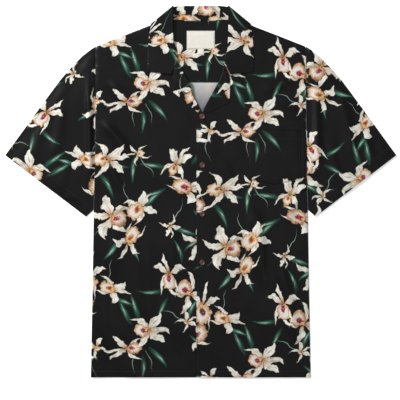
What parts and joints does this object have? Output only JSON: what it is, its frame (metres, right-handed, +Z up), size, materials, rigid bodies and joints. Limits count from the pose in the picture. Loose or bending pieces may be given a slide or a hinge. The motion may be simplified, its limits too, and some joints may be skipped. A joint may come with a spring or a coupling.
{
  "type": "hawaiian shirt",
  "caption": "Short-sleeved camp-collar shirt with a chest pocket and a flower print, buttoned and laid flat on its back.",
  "frame": {"origin": "the point on the surface under the middle of the shirt's bounding box", "axes": "+X to the wearer's left across the sleeves, +Y from the hem to the collar, +Z up from the surface the shirt lies on"},
  "size_m": [0.8406, 0.7988, 0.0102],
  "materials": {
    "print_cloth": "printed rayon, soft low sheen",
    "back_cloth": "printed rayon with a pale wrong side inside",
    "label": "woven satin, blank",
    "button": "brown coconut-shell look, satin"
  },
  "bodies": {
    "root": {"back_panel": "back_cloth", "back_yoke": "print_cloth", "inner_yoke": "print_cloth", "right_front": "print_cloth", "left_front": "print_cloth", "right_sleeve": "print_cloth", "left_sleeve": "print_cloth", "right_facing": "print_cloth", "left_facing": "print_cloth", "collar": "print_cloth", "pocket": "print_cloth", "neck_label": "label", "size_tab": "label", "button_1": "button", "button_2": "button", "button_3": "button", "button_4": "button", "button_5": "button"}
  },
  "joints": []
}
